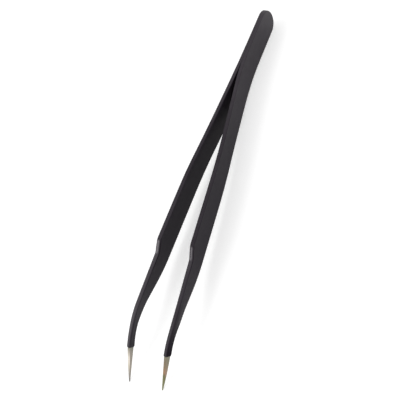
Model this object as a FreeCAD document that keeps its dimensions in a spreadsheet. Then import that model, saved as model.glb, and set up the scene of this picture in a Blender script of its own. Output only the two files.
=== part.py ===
"""Anti-static tweezers with two welded spring blades, curved bare tips and a black coat.

Millimetres. The pair lies on its smooth edge, as it rests on a bench: +X runs from the
heel to the tips, +Y is the closing direction towards the front blade, and +Z is up.
The origin is the middle of the box that holds the pair, on the bench surface.
"""
import FreeCAD, Part
import math
import os
import Sketcher

# Every driving dimension, by name. An "at" is a distance along the tweezers from the heel
# end, and a "from_tip" one back from the tips. A "side" is a distance from the long axis
# across the blade's width, and a "gap" is the distance from the middle plane to the inner
# face of one blade.
SIZES = [
    ("overall_length", 120.0),
    # Outline of a blade across its width, the same for both blades
    ("heel_half_width", 4.61),
    ("heel_crown_radius", 6.0),
    ("heel_crown_angle", 14.0),
    ("heel_corner_radius", 3.4),
    ("heel_taper_at", 24.3),
    ("waist_at", 38.8),
    ("waist_half_width", 4.05),
    ("waist_end_at", 50.3),
    ("blade_at", 58.8),
    ("blade_half_width", 4.35),
    ("heel_taper_blend", 7.0),
    ("blade_blend", 4.0),
    # Notched edge, which faces up
    ("shoulder_from_tip", 39.4),
    ("shoulder_side", 4.15),
    ("shoulder_radius", 0.5),
    ("notch_root_from_tip", 36.3),
    ("notch_root_side", 1.92),
    ("notch_radius", 2.5),
    ("neck_bend_from_tip", 16.2),
    ("neck_bend_side", 0.51),
    ("neck_bend_radius", 34.0),
    ("hook_from_tip", 9.1),
    ("hook_side", 1.85),
    ("hook_radius", 13.5),
    # Smooth edge, which faces down
    ("back_taper_from_tip", 33.6),
    ("back_taper_side", 4.84),
    ("back_taper_radius", 43.0),
    ("back_bend_from_tip", 22.0),
    ("back_bend_side", 2.50),
    ("back_bend_radius", 20.0),
    ("back_hook_from_tip", 14.0),
    ("back_hook_side", 2.30),
    ("back_hook_radius", 13.0),
    # Point of each tip
    ("tip_side", 9.66),
    ("tip_width", 0.20),
    ("tip_corner_radius", 0.07),
    # Bends and thickness of the blades in the closing direction
    ("spread_bend_at", 21.05),
    ("spread_blend", 7.5),
    ("arm_bend_at", 56.5),
    ("arm_bend_gap", 3.67),
    ("arm_blend", 6.5),
    ("jaw_bend_from_tip", 18.0),
    ("jaw_bend_gap", 5.94),
    ("jaw_blend", 3.5),
    ("tip_gap", 5.25),
    ("heel_thickness", 0.60),
    ("spread_thickness", 0.74),
    ("arm_thickness", 0.96),
    ("jaw_thickness", 1.02),
    ("point_taper_from_tip", 4.6),
    ("point_taper_thickness", 0.72),
    ("point_taper_blend", 2.0),
    ("tip_thickness", 0.28),
    # The welded heel leans towards the front blade by this angle, up to this station
    ("heel_lean", 2.9),
    ("heel_lean_at", 22.0),
    # Coat
    ("coat_thickness", 0.15),
    ("coat_end_from_tip", 8.6),
    ("coat_end_slant", 27.0),
    # Sealed gap behind the coat, where the blades start to part
    ("weld_void_length", 3.0),
    ("weld_void_thickness", 0.26),
]

doc = FreeCAD.newDocument("Tweezers")
sheet = doc.addObject("Spreadsheet::Sheet", "Sizes")
for row, (alias, value) in enumerate(SIZES, start=1):
    sheet.set("A%d" % row, alias)
    sheet.set("B%d" % row, str(value))
    sheet.setAlias("B%d" % row, alias)
doc.recompute()


def size(text):
    """Turn the words of a formula that name sizes into references to the sheet."""
    for alias in sorted((name for name, _ in SIZES), key=len, reverse=True):
        text = text.replace("{%s}" % alias, "Sizes.%s" % alias)
    return text


def from_tip(name):
    """The station of a feature that is placed back from the tips."""
    return "({overall_length} - {%s_from_tip})" % name


def pin(sketch, name, geometry, point, x_text, y_text):
    """Hold one point of a sketch at coordinates given by two formulas."""
    for axis, text, zero_axis in (("X", x_text, -2), ("Y", y_text, -1)):
        if text == "0":
            sketch.addConstraint(Sketcher.Constraint("PointOnObject", geometry, point, zero_axis))
            continue
        value = float(sketch.evalExpression(size(text)))
        index = sketch.addConstraint(
            Sketcher.Constraint("Distance" + axis, -1, 1, geometry, point, value))
        sketch.renameConstraint(index, "%s_%s" % (name, axis.lower()))
        sketch.setExpression("Constraints.%s_%s" % (name, axis.lower()), size(text))


def unit(start, end):
    """The direction from one point to another, one millimetre long."""
    return (end - start).normalize()


def draw_outline(sketch, corners):
    """Draw a closed outline of straight runs through named corners.

    A corner is (name, x, y, kind, amount). A sharp corner has kind None. Kind "radius"
    rounds it with that radius, and kind "blend" with an arc that starts and ends that
    far from the corner, so that it stays tangent to both runs.
    """
    count = len(corners)
    points = []
    for corner in corners:
        x = float(sketch.evalExpression(size(corner[1])))
        y = float(sketch.evalExpression(size(corner[2])))
        points.append(FreeCAD.Vector(x, y, 0))
    rounds = []
    for index, here in enumerate(points):
        kind, amount = corners[index][3:]
        before = unit(points[index - 1], here)
        after = unit(here, points[(index + 1) % count])
        turn = math.atan2(before.x * after.y - before.y * after.x, before.dot(after))
        if kind is None:
            rounds.append((here, here, None, turn))
            continue
        amount_now = float(sketch.evalExpression(size(amount)))
        half_tangent = math.tan(abs(turn) / 2)
        radius = amount_now if kind == "radius" else amount_now / half_tangent
        reach = radius * half_tangent
        side = FreeCAD.Vector(-before.y, before.x, 0) * math.copysign(radius, turn)
        begin = here - before * reach
        rounds.append((begin, here + after * reach, begin + side, turn))
    runs = []
    for index in range(count):
        start = rounds[index][1]
        end = rounds[(index + 1) % count][0]
        runs.append(sketch.addGeometry(Part.LineSegment(start, end), False))
    for index, (name, x_text, y_text, kind, amount) in enumerate(corners):
        run_in = runs[index - 1]
        run_out = runs[index]
        begin, end, centre, turn = rounds[index]
        if kind is None:
            sketch.addConstraint(Sketcher.Constraint("Coincident", run_in, 2, run_out, 1))
            pin(sketch, name, run_out, 1, x_text, y_text)
            continue
        first, last = (begin, end) if turn > 0 else (end, begin)
        first_angle = math.atan2(first.y - centre.y, first.x - centre.x)
        last_angle = math.atan2(last.y - centre.y, last.x - centre.x)
        circle = Part.Circle(centre, FreeCAD.Vector(0, 0, 1), (begin - centre).Length)
        arc = sketch.addGeometry(Part.ArcOfCircle(circle, first_angle, last_angle), False)
        corner = sketch.addGeometry(Part.Point(points[index]), True)
        arc_in, arc_out = (1, 2) if turn > 0 else (2, 1)
        sketch.addConstraint([
            Sketcher.Constraint("Tangent", run_in, 2, arc, arc_in),
            Sketcher.Constraint("Tangent", arc, arc_out, run_out, 1),
            Sketcher.Constraint("PointOnObject", corner, 1, run_in),
            Sketcher.Constraint("PointOnObject", corner, 1, run_out)])
        pin(sketch, name, corner, 1, x_text, y_text)
        if kind == "radius":
            held = Sketcher.Constraint("Radius", arc, (begin - centre).Length)
        else:
            held = Sketcher.Constraint("Distance", corner, 1, arc, arc_in, (begin - points[index]).Length)
        held_index = sketch.addConstraint(held)
        sketch.renameConstraint(held_index, "%s_%s" % (name, kind))
        sketch.setExpression("Constraints.%s_%s" % (name, kind), size(amount))


# The resting frame. The pair touches the bench with the coated corner of its heel and
# with the rounded corner of each tip, so the line that touches both rounds from below
# sets how far it leans. HOOK is the direction of the bare tips, seen from the edge, and
# BACK_RUN that of their smooth edge.
HOOK = ("atan(({tip_side} - ({hook_side} + {back_hook_side}) / 2)"
        " / (({hook_from_tip} + {back_hook_from_tip}) / 2))")
CROWN_REACH = "({heel_crown_radius} / cos({heel_crown_angle}) - {heel_crown_radius})"
CORNER_AT = "({heel_half_width} * tan({heel_crown_angle}) - %s)" % CROWN_REACH
HEEL_ROUND_AT = "(%s + {heel_corner_radius} * tan(45 - {heel_crown_angle} / 2))" % CORNER_AT
HEEL_ROUND_SIDE = "({heel_half_width} - {heel_corner_radius})"
HEEL_ROUND = "({heel_corner_radius} + {coat_thickness})"
BACK_RUN = ("atan(({tip_side} + {tip_width} / 2 * cos(%s) - {back_hook_side})"
            " / ({back_hook_from_tip} - {tip_width} / 2 * sin(%s)))") % (HOOK, HOOK)
TIP_ROUND_OFF = "({tip_width} / 2 - {tip_corner_radius} / tan(45 deg + (%s - %s) / 2))" % (HOOK, BACK_RUN)
TIP_ROUND_AT = "({overall_length} - %s * sin(%s) - {tip_corner_radius} * cos(%s))" % (
    TIP_ROUND_OFF, HOOK, HOOK)
TIP_ROUND_SIDE = "({tip_side} + %s * cos(%s) - {tip_corner_radius} * sin(%s))" % (
    TIP_ROUND_OFF, HOOK, HOOK)
SPAN = "(%s - %s)" % (TIP_ROUND_AT, HEEL_ROUND_AT)
DROP = "(%s - %s)" % (TIP_ROUND_SIDE, HEEL_ROUND_SIDE)
LEAN = "(atan(%s / %s) - asin((%s - {tip_corner_radius}) / sqrt(%s ^ 2 + %s ^ 2)))" % (
    DROP, SPAN, HEEL_ROUND, DROP, SPAN)
HEIGHT = "(%s + %s * cos(%s) - %s * sin(%s))" % (
    HEEL_ROUND, HEEL_ROUND_SIDE, LEAN, HEEL_ROUND_AT, LEAN)
MIDDLE = "(({overall_length} * cos(%s) + {tip_side} * sin(%s) - {coat_thickness}) / 2)" % (LEAN, LEAN)


def new_sketch(name, plane):
    """Add a sketch that lies in one plane of the resting frame."""
    sketch = doc.addObject("Sketcher::SketchObject", name)
    sketch.AttachmentSupport = [(resting_frame, "")]
    sketch.MapMode = plane
    doc.recompute()
    return sketch


def extrude(name, source, length):
    """Extrude a closed outline as far to both sides of its plane."""
    solid = doc.addObject("Part::Extrusion", name)
    solid.Base = source
    solid.DirMode = "Normal"
    solid.Solid = True
    solid.Symmetric = True
    solid.setExpression("LengthFwd", size(length))
    return solid


def combine(kind, name, first, second):
    """Cut the second solid from the first, keep what they share, or join them."""
    solid = doc.addObject("Part::" + kind, name)
    solid.Base = first
    solid.Tool = second
    return solid


def offset(name, source):
    """Lay the coat's thickness round an outline."""
    outline = doc.addObject("Part::Offset2D", name)
    outline.Source = source
    outline.Join = "Arc"
    outline.setExpression("Value", size("{coat_thickness}"))
    return outline


def turned_about(x, y, z):
    """A placement turned a little about an axis, so that a formula can set its angle."""
    return FreeCAD.Placement(FreeCAD.Vector(0, 0, 0), FreeCAD.Rotation(FreeCAD.Vector(x, y, z), -1))


resting_frame = doc.addObject("Part::Plane", "resting_frame")
resting_frame.Placement = turned_about(0, 1, 0)
resting_frame.setExpression("Placement.Rotation.Angle", size("-(%s)" % LEAN))
resting_frame.setExpression("Placement.Base.x", size("-(%s)" % MIDDLE))
resting_frame.setExpression("Placement.Base.z", size(HEIGHT))
doc.recompute()

# Outline across the width. In the sketch, y points up from the bench, so the notched
# edge has positive heights and the smooth edge and the tips have negative ones.
width_outline = new_sketch("width_outline", "ObjectXZ")
TIP_CORNER_X = "{overall_length} %s {tip_width} / 2 * sin(" + HOOK + ")"
TIP_CORNER_Y = "-{tip_side} %s {tip_width} / 2 * cos(" + HOOK + ")"
draw_outline(width_outline, [
    ("heel_crown", "-%s" % CROWN_REACH, "0", "radius", "{heel_crown_radius}"),
    ("back_heel", CORNER_AT, "-{heel_half_width}", "radius", "{heel_corner_radius}"),
    ("back_heel_taper", "{heel_taper_at}", "-{heel_half_width}", "blend", "{heel_taper_blend}"),
    ("back_waist", "{waist_at}", "-{waist_half_width}", "blend", "{heel_taper_blend}"),
    ("back_waist_end", "{waist_end_at}", "-{waist_half_width}", "blend", "{blade_blend}"),
    ("back_blade", "{blade_at}", "-{blade_half_width}", "blend", "{blade_blend}"),
    ("back_taper", from_tip("back_taper"), "-{back_taper_side}", "radius", "{back_taper_radius}"),
    ("back_bend", from_tip("back_bend"), "-{back_bend_side}", "radius", "{back_bend_radius}"),
    ("back_hook", from_tip("back_hook"), "-{back_hook_side}", "radius", "{back_hook_radius}"),
    ("back_tip", TIP_CORNER_X % "-", TIP_CORNER_Y % "-", "radius", "{tip_corner_radius}"),
    ("notch_tip", TIP_CORNER_X % "+", TIP_CORNER_Y % "+", "radius", "{tip_corner_radius}"),
    ("hook", from_tip("hook"), "-{hook_side}", "radius", "{hook_radius}"),
    ("neck_bend", from_tip("neck_bend"), "{neck_bend_side}", "radius", "{neck_bend_radius}"),
    ("notch_root", from_tip("notch_root"), "{notch_root_side}", "radius", "{notch_radius}"),
    ("shoulder", from_tip("shoulder"), "{shoulder_side}", "radius", "{shoulder_radius}"),
    ("blade", "{blade_at}", "{blade_half_width}", "blend", "{blade_blend}"),
    ("waist_end", "{waist_end_at}", "{waist_half_width}", "blend", "{blade_blend}"),
    ("waist", "{waist_at}", "{waist_half_width}", "blend", "{heel_taper_blend}"),
    ("heel_taper", "{heel_taper_at}", "{heel_half_width}", "blend", "{heel_taper_blend}"),
    ("heel", CORNER_AT, "{heel_half_width}", "radius", "{heel_corner_radius}"),
])

# Profile of each blade in the closing direction: a thin welded heel, a bend where the
# blades part, a flatter bend along the grip, and a slight bend back to the tips.
ARM_SLOPE = "({arm_bend_gap} / ({arm_bend_at} - {spread_bend_at}))"
LEAN_SLOPE = "tan({heel_lean})"
TAPER_GAP = ("({tip_gap} + ({jaw_bend_gap} - {tip_gap}) * {point_taper_from_tip}"
             " / {jaw_bend_from_tip})")
BLADE_SIDES = {"front": 1, "rear": -1}


def draw_profile(sketch, side):
    """Draw one blade's profile, on side 1 or -1 of the middle plane."""
    sign = "+" if side > 0 else "-"
    bend_at = "((%s * {spread_bend_at} %s %s * {heel_lean_at}) / (%s %s %s))" % (
        ARM_SLOPE, sign, LEAN_SLOPE, ARM_SLOPE, sign, LEAN_SLOPE)
    bend_off = "(%s * ({heel_lean_at} - %s))" % (LEAN_SLOPE, bend_at)
    past_heel = "-{heel_thickness}"
    heel_off = "(%s * ({heel_lean_at} + {heel_thickness}))" % LEAN_SLOPE
    draw_outline(sketch, [
        ("heel_inner", past_heel, heel_off, None, None),
        ("spread_inner", bend_at, bend_off, "blend", "{spread_blend}"),
        ("arm_inner", "{arm_bend_at}", sign + "{arm_bend_gap}", "blend", "{arm_blend}"),
        ("jaw_inner", from_tip("jaw_bend"), sign + "{jaw_bend_gap}", "blend", "{jaw_blend}"),
        ("tip_inner", "{overall_length} + {tip_width}", sign + "{tip_gap}", None, None),
        ("tip_outer", "{overall_length} + {tip_width}", sign + "({tip_gap} + {tip_thickness})", None, None),
        ("point_outer", from_tip("point_taper"), sign + "(%s + {point_taper_thickness})" % TAPER_GAP,
         "blend", "{point_taper_blend}"),
        ("jaw_outer", from_tip("jaw_bend"), sign + "({jaw_bend_gap} + {jaw_thickness})",
         "blend", "{jaw_blend}"),
        ("arm_outer", "{arm_bend_at}", sign + "({arm_bend_gap} + {arm_thickness})", "blend", "{arm_blend}"),
        ("spread_outer", bend_at, "%s %s {spread_thickness}" % (bend_off, sign), "blend", "{spread_blend}"),
        ("heel_outer", past_heel, "%s %s {heel_thickness}" % (heel_off, sign), None, None),
    ])


# Both outlines are drawn out to blocks of this width, more than the pair measures
BLOCK_WIDTH = "(2 * ({tip_side} + {heel_half_width}))"
width_block = extrude("width_block", width_outline, BLOCK_WIDTH)
coat_outline = offset("coat_outline", width_outline)
coat_width_block = extrude("coat_width_block", coat_outline, BLOCK_WIDTH)

# Everything past this box's near face is left bare. The face crosses each tip at a slant.
COAT_END_SIDE = "({tip_side} - {coat_end_from_tip} * tan(%s))" % HOOK
bare_zone = doc.addObject("Part::Box", "bare_zone")
bare_zone.AttachmentSupport = [(resting_frame, "")]
bare_zone.MapMode = "ObjectXZ"
bare_zone.AttachmentOffset = turned_about(0, 0, 1)
bare_zone.setExpression("AttachmentOffset.Rotation.Angle", size("-{coat_end_slant}"))
bare_zone.setExpression("AttachmentOffset.Base.x", size(
    "%s - {tip_side} * sin({coat_end_slant})" % from_tip("coat_end")))
bare_zone.setExpression("AttachmentOffset.Base.y", size(
    "-%s - {tip_side} * cos({coat_end_slant})" % COAT_END_SIDE))
bare_zone.setExpression("AttachmentOffset.Base.z", size("-%s / 2" % BLOCK_WIDTH))
bare_zone.setExpression("Length", size("{coat_end_from_tip} + {tip_side}"))
bare_zone.setExpression("Width", size("2 * {tip_side}"))
bare_zone.setExpression("Height", size(BLOCK_WIDTH))

blades = []
sleeves = []
for blade_name, blade_side in BLADE_SIDES.items():
    profile = new_sketch(blade_name + "_profile", "ObjectXY")
    draw_profile(profile, blade_side)
    profile_block = extrude(blade_name + "_profile_block", profile, BLOCK_WIDTH)
    blades.append(combine("Common", blade_name + "_blade", profile_block, width_block))
    sleeve_outline = offset(blade_name + "_sleeve_outline", profile)
    sleeves.append(extrude(blade_name + "_sleeve_block", sleeve_outline, BLOCK_WIDTH))

# The coat is one skin over the welded pair. It bridges the thin wedge where the blades
# part, so a sealed gap stays behind it.
sleeve_pair = combine("Fuse", "sleeve_pair", sleeves[0], sleeves[1])
coated_pair = combine("Common", "coated_pair", sleeve_pair, coat_width_block)
trimmed_pair = combine("Cut", "trimmed_pair", coated_pair, bare_zone)
weld_void = doc.addObject("Part::Box", "weld_void")
weld_void.AttachmentSupport = [(resting_frame, "")]
weld_void.MapMode = "ObjectXY"
VOID_END = "({spread_bend_at} - {spread_blend} + {weld_void_length})"
VOID_LENGTH = "(2 * {weld_void_length})"
weld_void.AttachmentOffset = turned_about(0, 0, 1)
weld_void.setExpression("AttachmentOffset.Rotation.Angle", size("-({heel_lean})"))
weld_void.setExpression("AttachmentOffset.Base.x", size("%s - %s" % (VOID_END, VOID_LENGTH)))
weld_void.setExpression("AttachmentOffset.Base.y", size(
    "%s * ({heel_lean_at} - %s + %s) - {weld_void_thickness} / 2" % (LEAN_SLOPE, VOID_END, VOID_LENGTH)))
weld_void.setExpression("AttachmentOffset.Base.z", size("-{heel_half_width}"))
weld_void.setExpression("Length", size(VOID_LENGTH))
weld_void.setExpression("Width", size("{weld_void_thickness}"))
weld_void.setExpression("Height", size("2 * {heel_half_width}"))
coat_core = doc.addObject("Part::MultiFuse", "coat_core")
coat_core.Shapes = blades + [weld_void]
coat = combine("Cut", "black_coat", trimmed_pair, coat_core)
doc.recompute()

pieces = blades + [coat]
for item in doc.Objects:
    if "Invalid" in item.State or "Error" in item.State:
        raise RuntimeError("%s failed: %s" % (item.Label, item.State))
for piece in pieces:
    if piece.Shape.isNull() or not piece.Shape.isValid():
        raise RuntimeError("%s has no valid shape" % piece.Label)
os.makedirs("parts", exist_ok=True)
for piece in pieces:
    piece.Shape.exportStep("parts/%s.step" % piece.Label)
    box = piece.Shape.BoundBox
    print("%-12s solids %d volume %.2f  x %.3f..%.3f  y %.3f..%.3f  z %.3f..%.3f" % (
        piece.Label, len(piece.Shape.Solids), piece.Shape.Volume,
        box.XMin, box.XMax, box.YMin, box.YMax, box.ZMin, box.ZMax))
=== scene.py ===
"""Curved anti-static tweezers: two ground steel blades under one satin black coat."""
import math

import bmesh
import bpy
import numpy as np
from mathutils import Matrix, Vector


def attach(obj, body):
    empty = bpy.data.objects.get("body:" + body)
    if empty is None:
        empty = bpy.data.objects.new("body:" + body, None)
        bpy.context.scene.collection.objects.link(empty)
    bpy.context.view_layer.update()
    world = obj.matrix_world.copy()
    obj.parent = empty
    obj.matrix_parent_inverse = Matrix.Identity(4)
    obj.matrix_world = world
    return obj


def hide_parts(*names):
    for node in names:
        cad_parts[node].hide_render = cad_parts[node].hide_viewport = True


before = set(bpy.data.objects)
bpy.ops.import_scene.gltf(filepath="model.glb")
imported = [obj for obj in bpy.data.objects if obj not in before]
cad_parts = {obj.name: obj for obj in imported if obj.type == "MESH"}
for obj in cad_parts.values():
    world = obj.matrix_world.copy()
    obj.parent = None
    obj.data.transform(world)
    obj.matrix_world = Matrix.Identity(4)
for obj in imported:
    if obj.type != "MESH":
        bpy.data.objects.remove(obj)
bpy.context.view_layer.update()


# Blades. Each is one strip of stainless sheet, blanked to the outline, bent at the heel, the
# arm and the jaw, and ground to a needle point. The two are spot welded flat together at the
# heel, and only their tips are bare.
FRONT, REAR = 1, -1
# Sizes in mm. A name with AT is a place along the blade from the heel, and one with HALF or
# SIDE is a distance from the blade's middle line.
LENGTH = 120
HEEL_HALF = 4.61
HEEL_RADIUS = 3.4
CROWN_RADIUS = 6
CROWN_ANGLE = math.radians(14)
CROWN_AT = CROWN_RADIUS - CROWN_RADIUS / math.cos(CROWN_ANGLE)
CORNER_AT = HEEL_HALF * math.tan(CROWN_ANGLE) + CROWN_AT
HEEL_TAPER_AT = 24.3
HEEL_TAPER_BLEND = 7
WAIST_AT = 38.8
WAIST_END_AT = 50.3
WAIST_HALF = 4.05
BLADE_AT = 58.8
BLADE_HALF = 4.35
BLADE_BLEND = 4
HOOK_AT = LENGTH - 9.1
HOOK_SIDE = 1.85
BACK_HOOK_AT = LENGTH - 14
BACK_HOOK_SIDE = 2.3
TIP_SIDE = 9.66
TIP_WIDTH = .2
TIP_RADIUS = .07
# The direction of the bare tips, and the two corners of a tip's square end
HOOK = math.atan((TIP_SIDE - (HOOK_SIDE + BACK_HOOK_SIDE) / 2)
                 / (LENGTH - (HOOK_AT + BACK_HOOK_AT) / 2))
TIP = (LENGTH + TIP_WIDTH / 2 * math.sin(HOOK), -TIP_SIDE + TIP_WIDTH / 2 * math.cos(HOOK))
BACK_TIP = (LENGTH - TIP_WIDTH / 2 * math.sin(HOOK), -TIP_SIDE - TIP_WIDTH / 2 * math.cos(HOOK))
# A corner of an outline is its place along and across the blade in mm, then the radius of
# its arc, or 0 and how far from the corner the arc begins.
NOTCH_EDGE = [
    (CROWN_AT, 0, CROWN_RADIUS, 0),
    (CORNER_AT, HEEL_HALF, HEEL_RADIUS, 0),
    (HEEL_TAPER_AT, HEEL_HALF, 0, HEEL_TAPER_BLEND),
    (WAIST_AT, WAIST_HALF, 0, HEEL_TAPER_BLEND),
    (WAIST_END_AT, WAIST_HALF, 0, BLADE_BLEND),
    (BLADE_AT, BLADE_HALF, 0, BLADE_BLEND),
    (LENGTH - 39.4, 4.15, .5, 0),  # shoulder
    (LENGTH - 36.3, 1.92, 2.5, 0),  # root of the notch
    (LENGTH - 16.2, .51, 34, 0),  # neck
    (HOOK_AT, -HOOK_SIDE, 13.5, 0),
    (*TIP, TIP_RADIUS, 0),
    (*BACK_TIP, TIP_RADIUS, 0)]
BACK_EDGE = [
    (CROWN_AT, 0, CROWN_RADIUS, 0),
    (CORNER_AT, -HEEL_HALF, HEEL_RADIUS, 0),
    (HEEL_TAPER_AT, -HEEL_HALF, 0, HEEL_TAPER_BLEND),
    (WAIST_AT, -WAIST_HALF, 0, HEEL_TAPER_BLEND),
    (WAIST_END_AT, -WAIST_HALF, 0, BLADE_BLEND),
    (BLADE_AT, -BLADE_HALF, 0, BLADE_BLEND),
    (LENGTH - 33.6, -4.84, 43, 0),  # start of the taper
    (LENGTH - 22, -2.5, 20, 0),  # neck
    (BACK_HOOK_AT, -BACK_HOOK_SIDE, 13, 0),
    (*BACK_TIP, TIP_RADIUS, 0),
    (*TIP, TIP_RADIUS, 0)]
HEEL_CAP = BACK_EDGE[2::-1] + NOTCH_EDGE[1:3]
TIP_CAP = BACK_EDGE[-3:-1] + NOTCH_EDGE[-2:-4:-1]
# The line that the cuts across a blade stand on, along the arm and then down the curved tip
SPINE_SIDE = -.8
SPINE = [
    (0, SPINE_SIDE, 0, 0),
    (LENGTH - 16.5, SPINE_SIDE, 0, 3),
    (HOOK_AT, -3.36, 0, 2.5),
    (LENGTH, -TIP_SIDE, 0, 0)]
# The coat ends at one of the cuts, this far along that line and slanted by this much
COAT_THICKNESS = .15
COAT_END = 112.0
COAT_SLANT = math.radians(27)
# Shares of a blade's width at which its faces have points, closest together at the edges
CROSSINGS = np.array([0, .012, .05, .14, .26, .38, .5, .62, .74, .86, .95, .988, 1])


def rounded_path(corners):
    """Points and headings along straight runs that meet in arcs, each tangent to both."""
    place = np.array([corner[:2] for corner in corners], float)
    runs = np.diff(place, axis=0)
    heading = np.unwrap(np.arctan2(runs[:, 1], runs[:, 0]))
    points, headings = [place[0]], [heading[0]]
    for k in range(1, len(corners) - 1):
        turn = heading[k] - heading[k - 1]
        half = math.tan(abs(turn) / 2)
        radius = corners[k][2] or corners[k][3] / half
        steps = 2 + int(abs(turn) / math.radians(1.5))
        around = heading[k - 1] + turn * np.linspace(0, 1, steps)
        inward = math.copysign(radius, turn) * np.stack([-np.sin(around), np.cos(around)], -1)
        start = place[k] - radius * half * runs[k - 1] / np.linalg.norm(runs[k - 1])
        points.extend(start + inward[0] - inward)
        headings.extend(around)
    points.append(place[-1])
    headings.append(heading[-1])
    return np.array(points), np.array(headings)


def length_run(points):
    """How far along a path each of its points is."""
    return np.concatenate([[0], np.cumsum(np.linalg.norm(np.diff(points, axis=0), axis=1))])


def cut_lines(distances):
    """A point and an angle for each cut across the blade.

    The cuts turn with the curved tip: smoothly up to the slant of the coat's end, and from
    there evenly, over 6 mm, to the direction of the tip.
    """
    turn_from, turn_past = 97, 6
    points, _ = rounded_path(SPINE)
    run = length_run(points)
    share = np.clip((distances - turn_from) / (COAT_END - turn_from), 0, 1)
    angle = -COAT_SLANT * share * share * (3 - 2 * share)
    angle -= (HOOK - COAT_SLANT) * np.clip((distances - COAT_END) / turn_past, 0, 1)
    return np.stack([np.interp(distances, run, points[:, 0]),
                     np.interp(distances, run, points[:, 1]), angle], -1)


def with_normals(found, left):
    """Turn headings into the normals on one side of the way: x, y, normal x, normal y."""
    side = 1 if left else -1
    return np.stack([found[:, 0], found[:, 1], -side * np.sin(found[:, 2]),
                     side * np.cos(found[:, 2])], -1)


def edge_points(corners, cuts, left):
    """Where an edge meets each cut, with its outward normal.

    ahead is how far each point of the edge is in front of each cut. The edge meets the cut
    where it passes 0, between two points.
    """
    points, headings = rounded_path(corners)
    x, y, angle = cuts.T[..., None]
    ahead = (points[:, 0] - x) * np.cos(angle) + (points[:, 1] - y) * np.sin(angle)
    after = np.clip((ahead <= 0).sum(axis=1), 1, len(points) - 1)
    row = np.arange(len(cuts))
    short, past = ahead[row, after - 1], ahead[row, after]
    share = np.clip(-short / (past - short), 0, 1)[:, None]
    path = np.column_stack([points, headings])
    return with_normals(path[after - 1] * (1 - share) + path[after] * share, left)


def cap_points(corners, first, last, left):
    """Points round one end of the outline, between two headings, spaced as the crossings."""
    points, headings = rounded_path(corners)
    run = length_run(points)
    way = math.copysign(1, last - first)
    ends = np.interp([way * first, way * last], way * headings, run)
    at = ends[0] + (ends[1] - ends[0]) * CROSSINGS
    found = np.stack([np.interp(at, run, values)
                      for values in (points[:, 0], points[:, 1], headings)], -1)
    return with_normals(found, left)


# The faces of a blade seen from its edge, at the heel, where the blades spread, at the arm, at
# the jaw and at the tip. A GAP is how far the inner face is from the plane between the blades.
HEEL_THICKNESS = .6
SPREAD_AT = 21.05
SPREAD_THICKNESS = .74
SPREAD_BLEND = 7.5
ARM_AT = 56.5
ARM_GAP = 3.67
ARM_THICKNESS = .96
ARM_BLEND = 6.5
JAW_AT = LENGTH - 18
JAW_GAP = 5.94
JAW_THICKNESS = 1.02
JAW_BLEND = 3.5
POINT_AT = LENGTH - 4.6
POINT_THICKNESS = .72
POINT_BLEND = 2
TIP_GAP = 5.25
TIP_THICKNESS = .28
HEEL_LEAN_END = 22
LEAN_SLOPE = math.tan(math.radians(2.9))
ARM_SLOPE = ARM_GAP / (ARM_AT - SPREAD_AT)


def closing_line(corners):
    """One face of a blade seen from its edge, as a function of the distance along it."""
    points, _ = rounded_path(corners)
    return lambda along: np.interp(along, points[:, 0], points[:, 1])


def blade_faces(side):
    """The inner and outer face of one blade. Both start on the leaning plane of the heel."""
    bend = ((ARM_SLOPE * SPREAD_AT + side * LEAN_SLOPE * HEEL_LEAN_END)
            / (ARM_SLOPE + side * LEAN_SLOPE))
    off = LEAN_SLOPE * (HEEL_LEAN_END - bend)
    start = LEAN_SLOPE * (HEEL_LEAN_END + HEEL_THICKNESS)
    point_gap = TIP_GAP + (JAW_GAP - TIP_GAP) * (LENGTH - POINT_AT) / (LENGTH - JAW_AT)
    end = LENGTH + TIP_WIDTH
    inner = [(-HEEL_THICKNESS, start, 0, 0),
             (bend, off, 0, SPREAD_BLEND),
             (ARM_AT, side * ARM_GAP, 0, ARM_BLEND),
             (JAW_AT, side * JAW_GAP, 0, JAW_BLEND),
             (end, side * TIP_GAP, 0, 0)]
    outer = [(-HEEL_THICKNESS, start + side * HEEL_THICKNESS, 0, 0),
             (bend, off + side * SPREAD_THICKNESS, 0, SPREAD_BLEND),
             (ARM_AT, side * (ARM_GAP + ARM_THICKNESS), 0, ARM_BLEND),
             (JAW_AT, side * (JAW_GAP + JAW_THICKNESS), 0, JAW_BLEND),
             (POINT_AT, side * (point_gap + POINT_THICKNESS), 0, POINT_BLEND),
             (end, side * (TIP_GAP + TIP_THICKNESS), 0, 0)]
    return closing_line(inner), closing_line(outer)


FACES = {side: blade_faces(side) for side in (FRONT, REAR)}
# The turns of the quarter circles at the two corners of an edge
OUTER_TURNS = np.radians([0, 18, 36, 54, 72, 90])
INNER_TURNS = np.radians([90, 60, 30, 0])


def rim(nodes, grow, side, outer, inner, outer_round, inner_round, past=0):
    """The edge band: from the outer face round to the inner one, at every outline point.

    Each corner is a quarter circle: the way in is radius * (1 - sin t) and the way down is
    radius * (1 - cos t). The last number of a point is sin t, 0 where the rounds begin and 1 on
    the edge. past is how far the edge stands out beyond what the faces grow by.
    """
    grow, outer_round, inner_round, past = (np.broadcast_to(v, len(nodes)) for v in
                                            (grow, outer_round, inner_round, past))
    columns = []
    for turns, radius, face, down in (
            (OUTER_TURNS, outer_round, lambda along: outer(along) + side * grow, -side),
            (INNER_TURNS, inner_round, lambda along: inner(along, grow), side)):
        for turn in turns:
            inset = radius * (1 - math.sin(turn))
            plane = nodes[:, :2] + nodes[:, 2:] * (grow + past - inset)[:, None]
            height = face(plane[:, 0]) + down * radius * (1 - math.cos(turn))
            columns.append(np.stack([*plane.T, height, np.full(len(nodes), math.sin(turn))], -1))
    return np.stack(columns, 1)


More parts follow.
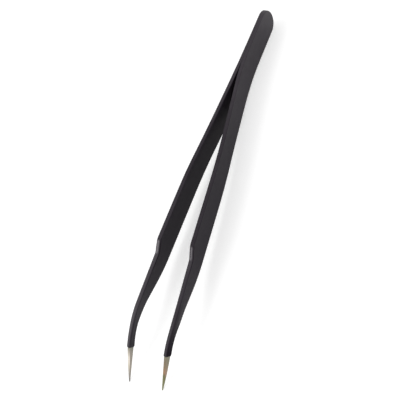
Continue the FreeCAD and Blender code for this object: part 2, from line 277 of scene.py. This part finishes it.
def spread(back, notch, crown, height, tip=None):
    """A face between its two long edges, with the heel's crown and the tip's round eased in.

    A row is a straight line between the edges, at the crossings. Near an end it moves by the
    end's own bulge times the square of 1 - distance / depth. The last number of a point falls
    from 0 on the border to -1 at border_width, a share of the width.
    """
    crown_depth, tip_depth, border_width = 9, .4, .07
    middle = len(CROSSINGS) // 2
    t = CROSSINGS[None, :, None]
    grid = back[:, None, :] * (1 - t) + notch[:, None, :] * t
    for end, border, depth in ((0, crown, crown_depth), (-1, tip, tip_depth)):
        if border is None:
            continue
        away = np.linalg.norm(grid[:, middle, :2] - grid[end, middle, :2], axis=-1)
        ease = np.clip(1 - away / depth, 0, 1)[:, None, None] ** 2
        grid[..., :2] += ease * (border - grid[end])[None, :, :2]
    grid[..., 2] = height(grid[..., 0])
    grid[..., 3] = -np.clip(np.minimum(CROSSINGS, 1 - CROSSINGS) / border_width, 0, 1)
    grid[:, 0], grid[:, -1], grid[0] = back, notch, crown
    if tip is not None:
        grid[-1] = tip
    return grid


def resting_line():
    """The lean of the long axis, the middle of the pair along the bench, and the axis's height.

    The pair lies on the coated round of its heel and on the round of each tip. The lean is the
    slope between the centres of these rounds, less the arc sine of the difference of their
    radii over the distance between them.
    """
    heel_at = CORNER_AT + HEEL_RADIUS * math.tan(math.radians(45) - CROWN_ANGLE / 2)
    heel_side = HEEL_HALF - HEEL_RADIUS
    heel_round = HEEL_RADIUS + COAT_THICKNESS
    back_run = math.atan2(-BACK_TIP[1] - BACK_HOOK_SIDE, BACK_TIP[0] - BACK_HOOK_AT)
    off = TIP_WIDTH / 2 - TIP_RADIUS / math.tan(math.radians(45) + (HOOK - back_run) / 2)
    tip_at = LENGTH - off * math.sin(HOOK) - TIP_RADIUS * math.cos(HOOK)
    tip_side = TIP_SIDE + off * math.cos(HOOK) - TIP_RADIUS * math.sin(HOOK)
    run, drop = tip_at - heel_at, tip_side - heel_side
    lean = math.atan(drop / run) - math.asin((heel_round - TIP_RADIUS) / math.hypot(run, drop))
    middle = (LENGTH * math.cos(lean) + TIP_SIDE * math.sin(lean) - COAT_THICKNESS) / 2
    return lean, middle, heel_round + heel_side * math.cos(lean) - heel_at * math.sin(lean)


LEAN, MIDDLE, HEIGHT = resting_line()


def placed(points):
    """Points along, across and in the closing direction, in mm, to the row frame in metres."""
    along, across, closing = np.moveaxis(np.asarray(points, float), -1, 0)
    x = along * math.cos(LEAN) - across * math.sin(LEAN) - MIDDLE
    z = along * math.sin(LEAN) + across * math.cos(LEAN) + HEIGHT
    return np.stack([x, closing, z], -1) / 1000


def make_piece(name, patches):
    """One closed mesh from grids that share their border points."""
    points, quads, start = [], [], 0
    for patch in patches:
        rows, columns = patch.shape[:2]
        index = start + np.arange(rows * columns).reshape(rows, columns)
        quads.append(np.stack([index[:-1, :-1], index[1:, :-1], index[1:, 1:], index[:-1, 1:]],
                              -1).reshape(-1, 4))
        points.append(patch.reshape(-1, 4))
        start += rows * columns
    points, quads = np.concatenate(points), np.concatenate(quads)
    _, first, same = np.unique(np.round(points[:, :3], 6), axis=0, return_index=True,
                               return_inverse=True)
    points, quads = points[first], same.reshape(-1)[quads]
    mesh = bpy.data.meshes.new(name)
    mesh.from_pydata(placed(points[:, :3]).tolist(), [], quads.tolist())
    shaper = bmesh.new()
    shaper.from_mesh(mesh)
    bmesh.ops.recalc_face_normals(shaper, faces=shaper.faces)
    shaper.to_mesh(mesh)
    shaper.free()
    mesh.polygons.foreach_set("use_smooth", [True] * len(mesh.polygons))
    edge = mesh.attributes.new("edge", "FLOAT", "POINT")
    edge.data.foreach_set("value", points[:, 3].astype(np.float32))
    piece = bpy.data.objects.new(name, mesh)
    bpy.context.scene.collection.objects.link(piece)
    return piece


def span(start, end, step):
    """Distances from start up to, not including, end."""
    return np.linspace(start, end, max(2, round((end - start) / step) + 1))[:-1]


# The skins of the two arms part where the blades stand two coats apart
PARTING = np.linspace(14, 24, 2001)
FORK_AT = float(np.interp(COAT_THICKNESS, (FACES[FRONT][0](PARTING) - FACES[REAR][0](PARTING)) / 2,
                          PARTING))
# Distances of the cuts along a blade, under the coat and past it. They are closest together
# at the ends, at the shoulder and in the notch. The coat rounds off over its last END_ROUND.
END_ROUND = .4
GRIP = np.concatenate([
    span(1.22, 4, .28), span(4, 14, 1), span(14, FORK_AT, .5), span(FORK_AT, 24, .5), span(24, 79.4, 1),
    span(79.4, 81, .16), span(81, 82.8, .45), span(82.8, 85.8, .25), span(85.8, 97, .9),
    span(97, COAT_END - 2.2, .6), span(COAT_END - 2.2, COAT_END - END_ROUND, .25),
    COAT_END - END_ROUND * (1 - np.sin(OUTER_TURNS))])
BARE = np.concatenate([span(COAT_END, 118, .45)[1:], span(118, 122.2, .3), [122.2, 122.29]])


def steel_outline():
    """The outline of a whole blade, as its two long edges, its heel and its tip.

    The heel and the tip are where the outline runs within 45 degrees of straight across.
    """
    first, last = math.radians(45), math.radians(135)
    cuts = cut_lines(np.concatenate([GRIP, BARE]))
    heel = cap_points(HEEL_CAP, last, first, True)
    tip = cap_points(TIP_CAP, first - HOOK, last - HOOK, False)
    back = edge_points(BACK_EDGE, cuts, False)
    notch = edge_points(NOTCH_EDGE, cuts, True)
    back[0], notch[0], back[-1], notch[-1] = heel[0], heel[-1], tip[0], tip[-1]
    return back, notch, heel, tip


BACK, NOTCH, HEEL, POINT = steel_outline()


def blade(side):
    """A whole blade: outer face, inner face and the edge band right round it.

    The rounds on its edges shrink from 0.1 mm to 0.04 mm over the tip.
    """
    inner, outer = FACES[side]
    nodes = np.concatenate([BACK[::-1], HEEL[1:-1], NOTCH, POINT[-2:0:-1], BACK[-1:]])
    rounding = np.interp(nodes[:, 0], [LENGTH - 9, LENGTH - 6, LENGTH], [.1, .07, .04])
    band = rim(nodes, 0, side, outer, lambda along, _: inner(along), rounding, rounding)
    band[-1] = band[0]
    count, wide = len(BACK), len(HEEL)
    patches = [band]
    for column, face in ((0, outer), (-1, inner)):
        border = band[:, column]
        back = border[:count][::-1]
        heel = border[count - 1:count - 1 + wide]
        notch = border[count + wide - 2:2 * count + wide - 2]
        tip = border[2 * count + wide - 3:][::-1]
        patches.append(spread(back, notch, heel, face, tip))
    return patches


def linear(code):
    """An sRGB hex colour as linear red, green and blue, and an alpha of 1."""
    values = [int(code[k:k + 2], 16) / 255 for k in (1, 3, 5)]
    return (*[v / 12.92 if v <= .04045 else ((v + .055) / 1.055) ** 2.4 for v in values], 1.0)


def add(tree, kind, inputs=None, **settings):
    """Add a node, make its settings, and feed its inputs with values or other nodes' outputs."""
    made = tree.nodes.new(kind)
    for name, value in settings.items():
        setattr(made, name, value)
    for name, value in (inputs or {}).items():
        if isinstance(value, bpy.types.NodeSocket):
            tree.links.new(value, made.inputs[name])
        else:
            made.inputs[name].default_value = value
    return made


def blend_colours(tree, share, first, second):
    """The colour between two others, at a share from 0 to 1."""
    mix = add(tree, "ShaderNodeMix", data_type="RGBA")
    tree.links.new(share, mix.inputs["Factor"])
    for socket, value in zip([s for s in mix.inputs if s.type == "RGBA"], (first, second)):
        if isinstance(value, bpy.types.NodeSocket):
            tree.links.new(value, socket)
        else:
            socket.default_value = value
    return next(s for s in mix.outputs if s.type == "RGBA")


def new_material(name):
    """An empty material and its shader."""
    material = bpy.data.materials.new(name)
    material.use_nodes = True
    tree = material.node_tree
    return material, tree, tree.nodes["Principled BSDF"]


def tinted(tree, share, stops):
    """A run of colours, given as pairs of a share from 0 to 1 and a colour."""
    ramp = add(tree, "ShaderNodeValToRGB", {"Fac": share})
    points = ramp.color_ramp.elements
    points[0].position, points[0].color = stops[0][0], linear(stops[0][1])
    points[1].position, points[1].color = stops[-1][0], linear(stops[-1][1])
    for at, code in stops[1:-1]:
        points.new(at).color = linear(code)
    return ramp.outputs["Color"]


def painted_steel_reflections(tree, place):
    """The colours of the bare steel, from the coat outwards, are painted reflections of the studio.

    They run from grey through straw and brown to olive on the front blade, and stay greyer on
    the rear one, whose edges carry a painted highlight brighter than its flats. The front blade's
    are a little darker.
    """
    part = add(tree, "ShaderNodeSeparateXYZ", {"Vector": place}).outputs
    # Soft clouds shift the colours by about a millimetre along the tip
    cloud = add(tree, "ShaderNodeTexNoise", {"Vector": place, "Scale": 1000 / 2.2, "Detail": 2.0})
    drift = add(tree, "ShaderNodeMath", {0: cloud.outputs["Fac"], 1: .0012, 2: part["X"]},
                operation="MULTIPLY_ADD")
    # 0 at the coat's end and 1 at the point
    out = add(tree, "ShaderNodeMapRange", {"Value": drift.outputs[0], "From Min": .0518,
                                           "From Max": .0604}).outputs["Result"]
    front = tinted(tree, out, [(0, "#868879"), (.16, "#8b8570"), (.38, "#9d8a73"), (.56, "#a88b77"),
                               (.68, "#7a7650"), (1, "#85875f")])
    rear = tinted(tree, out, [(0, "#7f8272"), (.2, "#a29a8f"), (.65, "#a8a094"), (1, "#8a8682")])
    front_edge = tinted(tree, out, [(0, "#6f7162"), (.2, "#7b7262"), (.38, "#857561"), (.54, "#9c7c62"),
                                    (.63, "#6e6c50"), (.75, "#737251"), (1, "#8a8b70")])
    rear_edge = tinted(tree, out, [(0, "#55564c"), (.1, "#6c6c60"), (.2, "#aba498"), (.42, "#ddd5cb"),
                                   (.6, "#c8bfb0"), (.82, "#98928c"), (1, "#8a8785")])
    nearer = add(tree, "ShaderNodeMath", {0: part["Y"], 1: 0.0}, operation="GREATER_THAN")
    edge = add(tree, "ShaderNodeAttribute", attribute_name="edge")
    return blend_colours(tree, edge.outputs["Fac"],
                         blend_colours(tree, nearer.outputs[0], rear, front),
                         blend_colours(tree, nearer.outputs[0], rear_edge, front_edge))


def ground_steel():
    """Stainless steel ground along the tip: silky, with fine lines that point to the tip."""
    material, tree, shader = new_material("ground stainless steel")
    place = add(tree, "ShaderNodeTexCoord").outputs["Object"]
    # Real grinding lines are a few hundredths of a millimetre apart, too fine to show here, so
    # they are drawn 0.2 mm apart and 8 mm long
    along = add(tree, "ShaderNodeMapping", {"Vector": place, "Rotation": (0, -HOOK, 0),
                                            "Scale": (1000 / 8, 1000 / .2, 1000 / .2)}).outputs["Vector"]
    lines = add(tree, "ShaderNodeTexNoise", {"Vector": along, "Scale": 1.0, "Detail": 3.0})
    rough = add(tree, "ShaderNodeMapRange", {"Value": lines.outputs["Fac"], "To Min": .26, "To Max": .42})
    bump = add(tree, "ShaderNodeBump", {"Height": lines.outputs["Fac"], "Strength": .35,
                                        "Distance": .000012})
    # The base colour is painted reflections, with a painted highlight on the rear blade's edges
    tree.links.new(painted_steel_reflections(tree, place), shader.inputs["Base Color"])
    tree.links.new(rough.outputs["Result"], shader.inputs["Roughness"])
    tree.links.new(bump.outputs["Normal"], shader.inputs["Normal"])
    shader.inputs["Metallic"].default_value = 1.0
    return material


STEEL = ground_steel()
for side, name, node in ((FRONT, "blade_front", "front_blade"), (REAR, "blade_rear", "rear_blade")):
    strip = make_piece(name, blade(side))
    strip.data.materials.append(STEEL)
    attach(strip, "root")
    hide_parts(node)


# Coat. A static-dissipative epoxy, sprayed over the welded pair and baked. It is one skin
# that bridges the joint of the blades up to where they part, pools a little on the notched
# edge of the jaws, and ends in a rounded step past the bend of the tips.
BEAD = .03
BEAD_FROM_END = .8
BEAD_WIDTH = .5
POOLED_BY = .12
# Rounds on the long edges, as the radius on plain edges and on the notched edge of the jaws
OUTER_ROUND = (.17, .37)
GAP_ROUND = (.1, .35)
POCKET_ROUND = (.1, .1)
# The pocket that a blade fills stands this far off the steel, and off the joint of the blades
POCKET_ROOM = .008
JOINT_ROOM = .002
# The skin's thickness at each cut. The bead is a bell curve about its middle, and the last
# few cuts follow the cosine of the end's round.
EASE = COAT_THICKNESS + BEAD * np.exp(-((COAT_END - GRIP - BEAD_FROM_END) / BEAD_WIDTH) ** 2)
EASE[-len(OUTER_TURNS):] *= np.maximum(np.cos(OUTER_TURNS), .1)
# 0 before the shoulder and 1 on the jaws past it, where the notched edge's round is larger
JAW = np.interp(NOTCH[:len(GRIP), 0], [79.8, 80.4], [0, 1])
# How far the pooled coat stands out on that edge
POOLED = (POOLED_BY * np.interp(NOTCH[:len(GRIP), 0], [81, 82], [0, 1])
          * np.minimum(EASE / COAT_THICKNESS, 1))


def middle_line(along):
    """The plane between the blades: the joint at the heel, then the middle of the gap."""
    return (FACES[FRONT][0](along) + FACES[REAR][0](along)) / 2


def arm_skin(side, grow, web, outer_round, inner_round, pooled):
    """The skin of one arm from the heel to its open end, as a band, two faces and a loop.

    web is how far its inner face stays from the joint of the blades, and pooled is how far the
    edge with the notch stands out. Each round is given as its radius on plain edges and on the
    notched edge of the jaws.
    """
    inner, outer = FACES[side]
    count, wide = len(GRIP), len(HEEL)
    back, notch = BACK[:count], NOTCH[:count]
    nodes = np.concatenate([back[::-1], HEEL[1:-1], notch])
    growth = np.concatenate([grow[::-1], np.full(wide - 2, grow[0]), grow])
    plain = np.zeros(count + wide - 2)
    cut, past = np.concatenate([plain, JAW]), np.concatenate([plain, pooled])
    outer_round, inner_round = (least + (most - least) * cut for least, most in
                                (outer_round, inner_round))

    def gap_face(along, by):
        """The face towards the gap, which stops at the joint."""
        off = side * (inner(along) - middle_line(along)) - by
        opened = along > FORK_AT + .01
        return middle_line(along) + side * np.where(opened, np.maximum(off, web), web)

    band = rim(nodes, growth, side, outer, gap_face, outer_round, inner_round, past)
    faces = []
    for column in (0, -1):
        border = band[:, column]
        parts = border[:count][::-1], border[-count:], border[count - 1:count - 1 + wide]
        face = spread(*parts, lambda along: along * 0)
        plane = face[..., 0]
        if column == 0:
            face[..., 2] = outer(plane) + side * grow[:, None]
        else:
            face[..., 2] = gap_face(plane, grow[:, None])
        face[:, 0], face[:, -1], face[0] = parts
        faces.append(face)
    loop = np.concatenate([faces[0][-1, :-1], band[-1, :-1], faces[1][-1, ::-1][:-1],
                           band[0, ::-1]])
    return band, faces[0], faces[1], loop


def coat():
    """The outer skin of both arms, and inside it the pocket that each blade fills."""
    parting = int(np.argmin(abs(GRIP - FORK_AT)))
    patches = []
    for side in (FRONT, REAR):
        band, outer_face, gap_face, end = arm_skin(side, EASE, 0, OUTER_ROUND, GAP_ROUND, POOLED)
        patches += [band, outer_face, gap_face[parting:]]
        room = np.full(len(GRIP), POCKET_ROOM)
        *pocket, pocket_end = arm_skin(side, room, JOINT_ROOM, POCKET_ROUND, POCKET_ROUND,
                                       np.zeros(len(GRIP)))
        patches += pocket
        patches.append(np.stack([end, pocket_end]))
    return patches


def along_blades(tree, along, stops):
    """A value that changes smoothly along the blades, from pairs of a place and a value.

    A place is in mm from the middle. The curve's input runs from 0 to 1 over reach, a little
    more than the blades' length.
    """
    reach = 125
    share = add(tree, "ShaderNodeMapRange", {"Value": along, "From Min": -reach / 2000,
                                             "From Max": reach / 2000})
    curve = add(tree, "ShaderNodeFloatCurve", {"Value": share.outputs["Result"]})
    points = curve.mapping.curves[0].points
    for _ in stops[2:]:
        points.new(.5, .5)
    for point, (at, value) in zip(points, stops):
        point.location = at / reach + .5, value
        point.handle_type = "AUTO_CLAMPED"
    curve.mapping.update()
    return curve.outputs[0]


def pooled_edge(tree, along, border):
    """1 on the notched edge of the jaws, where the coat is thick, and 0 elsewhere."""
    jaw = along_blades(tree, along, [(-62.5, 0), (19.9, 0), (20.6, 1), (62.5, 1)])
    thick = add(tree, "ShaderNodeMapRange", {"Value": border, "From Min": .35, "From Max": .95})
    return add(tree, "ShaderNodeMath", {0: thick.outputs["Result"], 1: jaw},
               operation="MULTIPLY").outputs[0]


def painted_sheen_tone(tree, place, along, cloud, edge, pooled):
    """The coat's near-black with a purple cast, painted lighter grey at the heel's end and along the
    edges: a painted sheen at the heel, and a painted highlight with wear on the edges.

    The edges are lightened 0.7 times as much as the heel, and both in patches 2.5 mm wide.
    """
    bare_edge = add(tree, "ShaderNodeMath", {0: edge, 1: pooled}, operation="SUBTRACT", use_clamp=True)
    # 1 at the very heel, and 0 from 15 mm before the middle on
    heel = add(tree, "ShaderNodeMapRange", {"Value": along, "From Min": -.06, "From Max": -.015,
                                            "To Min": 1.0, "To Max": 0.0}).outputs["Result"]
    lightened = add(tree, "ShaderNodeMath", {0: bare_edge.outputs[0], 1: .7, 2: heel},
                  operation="MULTIPLY_ADD")
    scuffs = add(tree, "ShaderNodeTexNoise", {"Vector": place, "Scale": 1000 / 2.5, "Detail": 4.0})
    patchy = add(tree, "ShaderNodeMapRange", {"Value": scuffs.outputs["Fac"], "From Min": .3,
                                              "From Max": .7, "To Min": .7, "To Max": 1.0})
    wear_and_highlight = add(tree, "ShaderNodeMath", {0: lightened.outputs[0], 1: patchy.outputs["Result"]},
               operation="MULTIPLY").outputs[0]
    tone = blend_colours(tree, cloud, linear("#120b14"), linear("#1b141f"))
    # The grey mixed in is a painted sheen at the heel, and a painted highlight with wear on the edges
    return blend_colours(tree, wear_and_highlight, tone, linear("#383439"))


def glazed_roughness(tree, along, cloud, pooled):
    """Satin, a little uneven, and glossy where the coat has pooled."""
    rough = add(tree, "ShaderNodeMapRange", {"Value": cloud, "To Min": .42, "To Max": .52})
    glazed = along_blades(tree, along, [(-60, 0), (19.9, 0), (20.6, .24), (25, .24), (29, .12), (60, .12)])
    glaze = add(tree, "ShaderNodeMath", {0: pooled, 1: glazed}, operation="MULTIPLY")
    return add(tree, "ShaderNodeMath", {0: rough.outputs["Result"], 1: glaze.outputs[0]},
               operation="SUBTRACT").outputs[0]


def painted_shade_share(tree, part, near, border):
    """The share of the sheen that is taken away, as painted shade.

    The upper part and the end of the near blade are dulled, and so is a thin line beside the
    pooled edge.
    """
    # Painted shade on the upper part and the end of the near blade, towards the tips
    upper = add(tree, "ShaderNodeMapRange", {"Value": part["Z"], "From Min": .0077, "From Max": .0085})
    upper_shade_along = along_blades(tree, part["X"], [(-60, 0), (32, 0), (40, .55), (52, .6)])
    upper_shade = add(tree, "ShaderNodeMath", {0: upper.outputs["Result"], 1: upper_shade_along}, operation="MULTIPLY")
    end = along_blades(tree, part["X"], [(-60, 0), (41, 0), (43.5, .4), (47, .76), (52, .86)])
    dulled = add(tree, "ShaderNodeMath", {0: upper_shade.outputs[0], 1: end}, operation="MAXIMUM")
    dull = add(tree, "ShaderNodeMath", {0: dulled.outputs[0], 1: near}, operation="MULTIPLY")
    away = add(tree, "ShaderNodeMath", {0: border}, operation="ABSOLUTE")
    beside = add(tree, "ShaderNodeMapRange", {"Value": away.outputs[0], "From Max": .75, "To Min": 1.0,
                                              "To Max": 0.0})
    # A thin line of painted shade beside the pooled edge
    line = along_blades(tree, part["X"], [(-60, 0), (19.5, 0), (21, .95), (24.5, .95), (28, .3),
                                          (34, .1), (50, .1)])
    flat_line = add(tree, "ShaderNodeMath", {0: beside.outputs["Result"], 1: line}, operation="MULTIPLY")
    return add(tree, "ShaderNodeMath", {0: dull.outputs[0], 1: flat_line.outputs[0]},
               operation="MAXIMUM").outputs[0]


def sheen(tree, part, border, edge, pooled):
    """How strongly the coat mirrors, as a painted sheen: most on the pooled edge, at the heel and
    at the neck.

    It is the painted sheen along the blades times the share that the painted shade leaves, plus
    a painted highlight on the far blade's edges and the gloss of the pooled edge.
    """
    along = part["X"]
    near = add(tree, "ShaderNodeMath", {0: part["Y"], 1: 0.0}, operation="GREATER_THAN").outputs[0]
    # A painted sheen that changes along the blades
    base = along_blades(tree, along, [(-60, .37), (-55, .29), (-50, .2), (-33, .19), (-18, .165),
                                      (2, .145), (18, .14), (27, .175), (34, .2), (41, .27),
                                      (45, .22), (48, .19), (52, .11)])
    left = add(tree, "ShaderNodeMath", {0: 1.0, 1: painted_shade_share(tree, part, near, border)},
               operation="SUBTRACT")
    kept = add(tree, "ShaderNodeMath", {0: base, 1: left.outputs[0]}, operation="MULTIPLY")
    # A painted highlight on the far blade's edges
    edge_highlight = along_blades(tree, along, [(-60, 0), (-5, 0), (15, .12), (24, .12), (30, .17), (40, .15),
                                          (50, .06)])
    near_edge = add(tree, "ShaderNodeMath", {0: edge_highlight, 1: near}, operation="MULTIPLY")
    far_edge = add(tree, "ShaderNodeMath", {0: edge_highlight, 1: near_edge.outputs[0]}, operation="SUBTRACT")
    run = add(tree, "ShaderNodeMath", {0: edge, 1: far_edge.outputs[0], 2: kept.outputs[0]},
              operation="MULTIPLY_ADD")
    deep = along_blades(tree, along, [(-60, 0), (19.9, 0), (20.6, .5), (25, .5), (29, .3), (60, .3)])
    return add(tree, "ShaderNodeMath", {0: pooled, 1: deep, 2: run.outputs[0]},
               operation="MULTIPLY_ADD").outputs[0]


def satin_epoxy():
    """Baked black epoxy: a fine orange peel, painted lighter grey at the heel and along the edges,
    and a painted sheen that changes along the blades.

    On the edges of the cut-away jaws it has pooled thicker and glossy, beside a thin line of
    painted shade.
    The mesh's edge value is 1 on the edges, 0 on a face's border and -1 inside it.
    """
    material, tree, shader = new_material("satin black epoxy coat")
    place = add(tree, "ShaderNodeTexCoord").outputs["Object"]
    part = add(tree, "ShaderNodeSeparateXYZ", {"Vector": place}).outputs
    border = add(tree, "ShaderNodeAttribute", attribute_name="edge").outputs["Fac"]
    edge = add(tree, "ShaderNodeMapRange", {"Value": border}).outputs["Result"]
    pooled = pooled_edge(tree, part["X"], border)
    cloud = add(tree, "ShaderNodeTexNoise", {"Vector": place, "Scale": 1000 / 14,
                                             "Detail": 3.0}).outputs["Fac"]
    peel = add(tree, "ShaderNodeTexNoise", {"Vector": place, "Scale": 1000 / .55, "Detail": 2.0})
    bump = add(tree, "ShaderNodeBump", {"Height": peel.outputs["Fac"], "Strength": .5,
                                        "Distance": .000012})
    tree.links.new(painted_sheen_tone(tree, place, part["X"], cloud, edge, pooled), shader.inputs["Base Color"])
    tree.links.new(glazed_roughness(tree, part["X"], cloud, pooled), shader.inputs["Roughness"])
    tree.links.new(sheen(tree, part, border, edge, pooled), shader.inputs["Specular IOR Level"])
    tree.links.new(bump.outputs["Normal"], shader.inputs["Normal"])
    shader.inputs["Specular Tint"].default_value = (1, .95, 1, 1)
    return material


skin = make_piece("grip_coat", coat())
skin.data.materials.append(satin_epoxy())
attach(skin, "root")
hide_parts("black_coat")


# Studio. The pair lies on a white sweep under one broad lamp, with a white room round it.
FLOOR_HALF = 1.5
ROOM_LIGHT = .82


def seen_or_mirrored(tree, straight=1.0):
    """1 for what metal and glass show, a value for what the camera sees, and 0 for lighting."""
    path = add(tree, "ShaderNodeLightPath").outputs
    mirrored = add(tree, "ShaderNodeMath", {0: path["Is Glossy Ray"], 1: path["Is Transmission Ray"]},
                   operation="MAXIMUM")
    return add(tree, "ShaderNodeMath", {0: path["Is Camera Ray"], 1: straight, 2: mirrored.outputs[0]},
               operation="MULTIPLY_ADD").outputs[0]


def white_sweep():
    """Matt white card that keeps the shadow, and is lifted to white where it is seen.

    Its own 0.8 and a lift of 0.2 make the white that the steel mirrors. What the camera sees
    is lifted 2.1 times as much, which leaves a soft shadow.
    """
    material, tree, shader = new_material("white sweep")
    tree.nodes.remove(shader)
    card = add(tree, "ShaderNodeBsdfDiffuse", {"Color": (.8, .8, .8, 1)})
    share = add(tree, "ShaderNodeMath", {0: seen_or_mirrored(tree, 2.1), 1: .2}, operation="MULTIPLY")
    lift = add(tree, "ShaderNodeEmission", {"Strength": share.outputs[0]})
    both = add(tree, "ShaderNodeAddShader")
    tree.links.new(card.outputs[0], both.inputs[0])
    tree.links.new(lift.outputs[0], both.inputs[1])
    tree.links.new(both.outputs[0], tree.nodes["Material Output"].inputs["Surface"])
    return material


sweep = bpy.data.meshes.new("sweep")
sweep.from_pydata([(x, y, 0) for x, y in ((-FLOOR_HALF, -FLOOR_HALF), (FLOOR_HALF, -FLOOR_HALF),
                                          (FLOOR_HALF, FLOOR_HALF), (-FLOOR_HALF, FLOOR_HALF))],
                  [], [(0, 1, 2, 3)])
floor = bpy.data.objects.new("sweep", sweep)
floor.data.materials.append(white_sweep())
bpy.context.scene.collection.objects.link(floor)

world = bpy.data.worlds.new("white room")
world.use_nodes = True
bpy.context.scene.world = world
room = world.node_tree
level = add(room, "ShaderNodeMapRange", {"Value": seen_or_mirrored(room), "To Min": ROOM_LIGHT,
                                         "To Max": 1.0})
room.links.new(level.outputs["Result"], room.nodes["Background"].inputs["Strength"])
room.nodes["Background"].inputs["Color"].default_value = (1, 1, 1, 1)


def softbox(name, place, length, width, share):
    """A lamp that looks at the middle, long beside the blades, and lights a level card.

    share is how much of white it adds to that card. The power is the square of pi times the
    distance, times the share, over the cosine of the light's angle to the card's normal.
    """
    lamp = bpy.data.lights.new(name, "AREA")
    lamp.shape = "RECTANGLE"
    lamp.size, lamp.size_y = length, width
    away = Vector(place)
    lamp.energy = math.pi ** 2 * away.length_squared * share / (away.z / away.length)
    body = bpy.data.objects.new(name, lamp)
    outward = away.normalized()
    wide = outward.cross(Vector((1, 0, 0))).normalized()
    turn = Matrix((wide.cross(outward), wide, outward)).transposed().to_4x4()
    turn.translation = away
    body.matrix_world = turn
    bpy.context.scene.collection.objects.link(body)


softbox("long lamp", (.362, -.33, .564), .64, .25, .18)


# Camera. It looks down at 59 degrees over the front blade, a little from the tips' side, and
# is rolled so that the heel is at the top right. It is 0.4 m away. Its axes are given along
# the blades, down across them and in the closing direction, and SHIFT is where the middle of
# the blades' long axis lies before it, in mm.
RIGHT = (-.32567501, .32169455, .88907165)
UP = (-.89076833, -.41963816, -.17445801)
BACKWARD = (.3169662, -.84877348, .42322098)
SHIFT = np.array((.90173558, 4.15215364, -400.0026))
SENSOR_MM = 36
# The focal length and the width of the photograph's frame, both in pixels
FOCAL_PX = 1356.138
FRAME_PX = 400


def turned(direction):
    """A direction along, down across and in the closing direction, to the row frame."""
    along, down, closing = direction
    return Vector((placed((along, -down, closing)) - placed((0, 0, 0))) * 1000)


axes = np.array([RIGHT, UP, BACKWARD])
eye = np.array((LENGTH / 2, 0, 0)) - axes.T @ SHIFT
camera = bpy.data.objects.new("camera", bpy.data.cameras.new("camera"))
camera.data.sensor_width = SENSOR_MM
camera.data.lens = FOCAL_PX / FRAME_PX * SENSOR_MM
camera.data.clip_start, camera.data.clip_end = .02, 20
look = Matrix([turned(axis) for axis in axes]).transposed().to_4x4()
look.translation = Vector(placed((eye[0], -eye[1], eye[2])))
camera.matrix_world = look
bpy.context.scene.collection.objects.link(camera)
bpy.context.scene.camera = camera
bpy.context.scene.view_settings.view_transform = "Standard"
